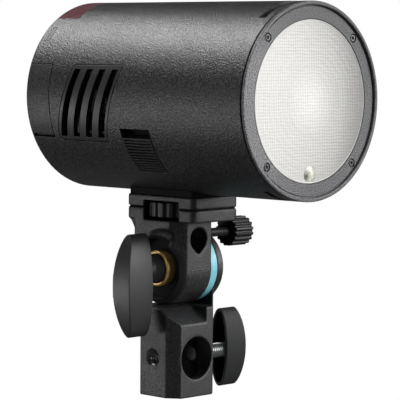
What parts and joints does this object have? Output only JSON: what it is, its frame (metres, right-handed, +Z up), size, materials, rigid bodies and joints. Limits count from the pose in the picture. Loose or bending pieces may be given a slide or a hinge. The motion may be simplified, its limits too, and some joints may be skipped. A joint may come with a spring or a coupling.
{
  "type": "monolight strobe",
  "caption": "Cylindrical battery flash head with a round prismatic lens, vented side and rear controls, on a tilting stand bracket with an umbrella hole and clamp knobs.",
  "frame": {"origin": "centre of the stand bore's mouth, on the flat bottom of the stand block", "axes": "+Z up along the stand bore, the lens faces -Y, +X is to the right when looking along +Y"},
  "size_m": [0.076, 0.1248, 0.1573],
  "materials": {
    "barrel_black": "fine grained, satin",
    "collar_black": "fine grained, satin",
    "trim_black": "smooth satin",
    "rubber_black": "matt",
    "cast_black": "fine powder coat",
    "knob_black": "satin",
    "lens_frosted": "prismatic",
    "clear_plastic": "clear",
    "sensor_red": "tinted, gloss",
    "light_pipe": "satin",
    "display_glass": "gloss",
    "button_grey": "matt",
    "reflector_silver": "polished",
    "tube_glass": "frosted",
    "ceramic_white": "unglazed",
    "steel": "bright",
    "steel_black": "blackened",
    "brass": "turned",
    "disc_blue": "satin",
    "board_green": "satin",
    "sleeve_black": "shrink sleeve",
    "cell_green": "shrink sleeve",
    "heat_sink": "matt"
  },
  "bodies": {
    "stand_socket": {"stand_block": "cast_black", "friction_disc": "disc_blue", "tilt_bolt": "steel_black"},
    "flash_head": {"barrel_shell": "barrel_black", "front_collar": "collar_black", "bezel_ring": "collar_black", "bezel_screws": "steel_black", "front_lens": "lens_frosted", "led_lens": "clear_plastic", "led_board": "heat_sink", "lens_gasket": "rubber_black", "reflector": "reflector_silver", "flash_tube": "tube_glass", "tube_socket": "ceramic_white", "vent_grille": "trim_black", "port_sockets": "steel", "latch_spring": "steel", "battery_bay": "trim_black", "battery_contacts": "brass", "sensor_window": "sensor_red", "indicator_light": "light_pipe", "flash_capacitors": "sleeve_black", "main_board": "board_green", "fan_frame": "trim_black", "rear_panel": "trim_black", "rear_screws": "steel_black", "display_window": "display_glass", "display_module": "steel", "control_board": "board_green", "foot_pad": "rubber_black", "foot_plate": "cast_black", "foot_screws": "steel", "foot_insert": "brass", "tilt_arm": "cast_black", "locating_pins": "steel", "brass_bush": "brass", "thrust_washer": "steel_black"},
    "port_cover": {"port_cover": "rubber_black"},
    "battery_latch": {"battery_latch": "trim_black"},
    "battery": {"battery_case": "barrel_black", "battery_cells": "cell_green"},
    "fan": {"fan_rotor": "trim_black"},
    "dial": {"control_dial": "knob_black"},
    "set_button": {"set_button": "button_grey"},
    "button_left_upper": {"button_left_upper": "button_grey"},
    "button_left_lower": {"button_left_lower": "button_grey"},
    "button_right_upper": {"button_right_upper": "button_grey"},
    "button_right_lower": {"button_right_lower": "button_grey"},
    "power_switch": {"power_switch": "button_grey"},
    "thumbwheel": {"thumbwheel": "steel_black", "mount_stud": "steel"},
    "umbrella_tip": {"umbrella_pad": "steel"},
    "umbrella_thumbscrew": {"umbrella_screw": "steel_black", "umbrella_knob": "knob_black"},
    "tilt_knob": {"tilt_knob": "knob_black", "tilt_nut": "steel"},
    "stand_tip": {"stand_pad": "steel"},
    "stand_clamp_screw": {"stand_knob": "knob_black", "stand_screw": "steel"}
  },
  "joints": [
    {"name": "head_tilt", "type": "hinge", "parent": "stand_socket", "child": "flash_head", "pos_m": [0, 0.0012, 0.0512], "axis": [1, 0, 0], "range_deg": [-90, 90]},
    {"name": "tilt_knob_turn", "type": "hinge", "parent": "stand_socket", "child": "tilt_knob", "pos_m": [0, 0.0012, 0.0512], "axis": [1, 0, 0], "range_deg": [-180, 30]},
    {"name": "stand_clamp_feed", "type": "slide", "parent": "stand_socket", "child": "stand_tip", "axis": [1, 0, 0], "range_m": [-0.0024, 0.0002]},
    {"name": "stand_clamp_turn", "type": "hinge", "parent": "stand_tip", "child": "stand_clamp_screw", "pos_m": [0, 0, 0.0152], "axis": [1, 0, 0], "range_deg": [-90, 1080]},
    {"name": "umbrella_clamp_feed", "type": "slide", "parent": "flash_head", "child": "umbrella_tip", "axis": [1, 0, 0], "range_m": [-0.0028, 0.0002]},
    {"name": "umbrella_clamp_turn", "type": "hinge", "parent": "umbrella_tip", "child": "umbrella_thumbscrew", "pos_m": [0, -0.0085, 0.065], "axis": [1, 0, 0], "range_deg": [-102.86, 1440]},
    {"name": "thumbwheel_turn", "type": "hinge", "parent": "flash_head", "child": "thumbwheel", "pos_m": [0, -0.0007, 0.0747], "axis": [0, 0, 1], "continuous": true},
    {"name": "battery_latch_slide", "type": "hinge", "parent": "flash_head", "child": "battery_latch", "pos_m": [0, 0, 0.1193], "axis": [0, 1, 0], "range_deg": [0, 5], "stiffness_Nm_per_rad": 0.5, "springref_deg": -11.46},
    {"name": "battery_slide", "type": "slide", "parent": "flash_head", "child": "battery", "axis": [1, 0, 0], "range_m": [0, 0.026]},
    {"name": "port_cover_open", "type": "hinge", "parent": "flash_head", "child": "port_cover", "pos_m": [-0.03564, 0.042, 0.13248], "axis": [0, 1, 0], "range_deg": [0, 75]},
    {"name": "fan_spin", "type": "hinge", "parent": "flash_head", "child": "fan", "pos_m": [-0.0274, 0.014, 0.1173], "axis": [1, 0, 0], "continuous": true},
    {"name": "dial_turn", "type": "hinge", "parent": "flash_head", "child": "dial", "pos_m": [0, 0.05, 0.1043], "axis": [0, 1, 0], "continuous": true},
    {"name": "set_button_press", "type": "slide", "parent": "flash_head", "child": "set_button", "axis": [0, -1, 0], "range_m": [0, 0.0005], "stiffness_N_per_m": 800, "springref_m": -0.0005},
    {"name": "power_switch_slide", "type": "slide", "parent": "flash_head", "child": "power_switch", "axis": [1, 0, 0], "range_m": [0, 0.002]},
    {"name": "button_left_upper_press", "type": "slide", "parent": "flash_head", "child": "button_left_upper", "axis": [0, -1, 0], "range_m": [0, 0.0006], "stiffness_N_per_m": 800, "springref_m": -0.0005},
    {"name": "button_left_lower_press", "type": "slide", "parent": "flash_head", "child": "button_left_lower", "axis": [0, -1, 0], "range_m": [0, 0.0006], "stiffness_N_per_m": 800, "springref_m": -0.0005},
    {"name": "button_right_upper_press", "type": "slide", "parent": "flash_head", "child": "button_right_upper", "axis": [0, -1, 0], "range_m": [0, 0.0006], "stiffness_N_per_m": 800, "springref_m": -0.0005},
    {"name": "button_right_lower_press", "type": "slide", "parent": "flash_head", "child": "button_right_lower", "axis": [0, -1, 0], "range_m": [0, 0.0006], "stiffness_N_per_m": 800, "springref_m": -0.0005}
  ],
  "couplings": [
    {"joint": "stand_clamp_turn", "follows": "stand_clamp_feed", "rad_per_m": -7854},
    {"joint": "umbrella_clamp_turn", "follows": "umbrella_clamp_feed", "rad_per_m": -8976}
  ]
}
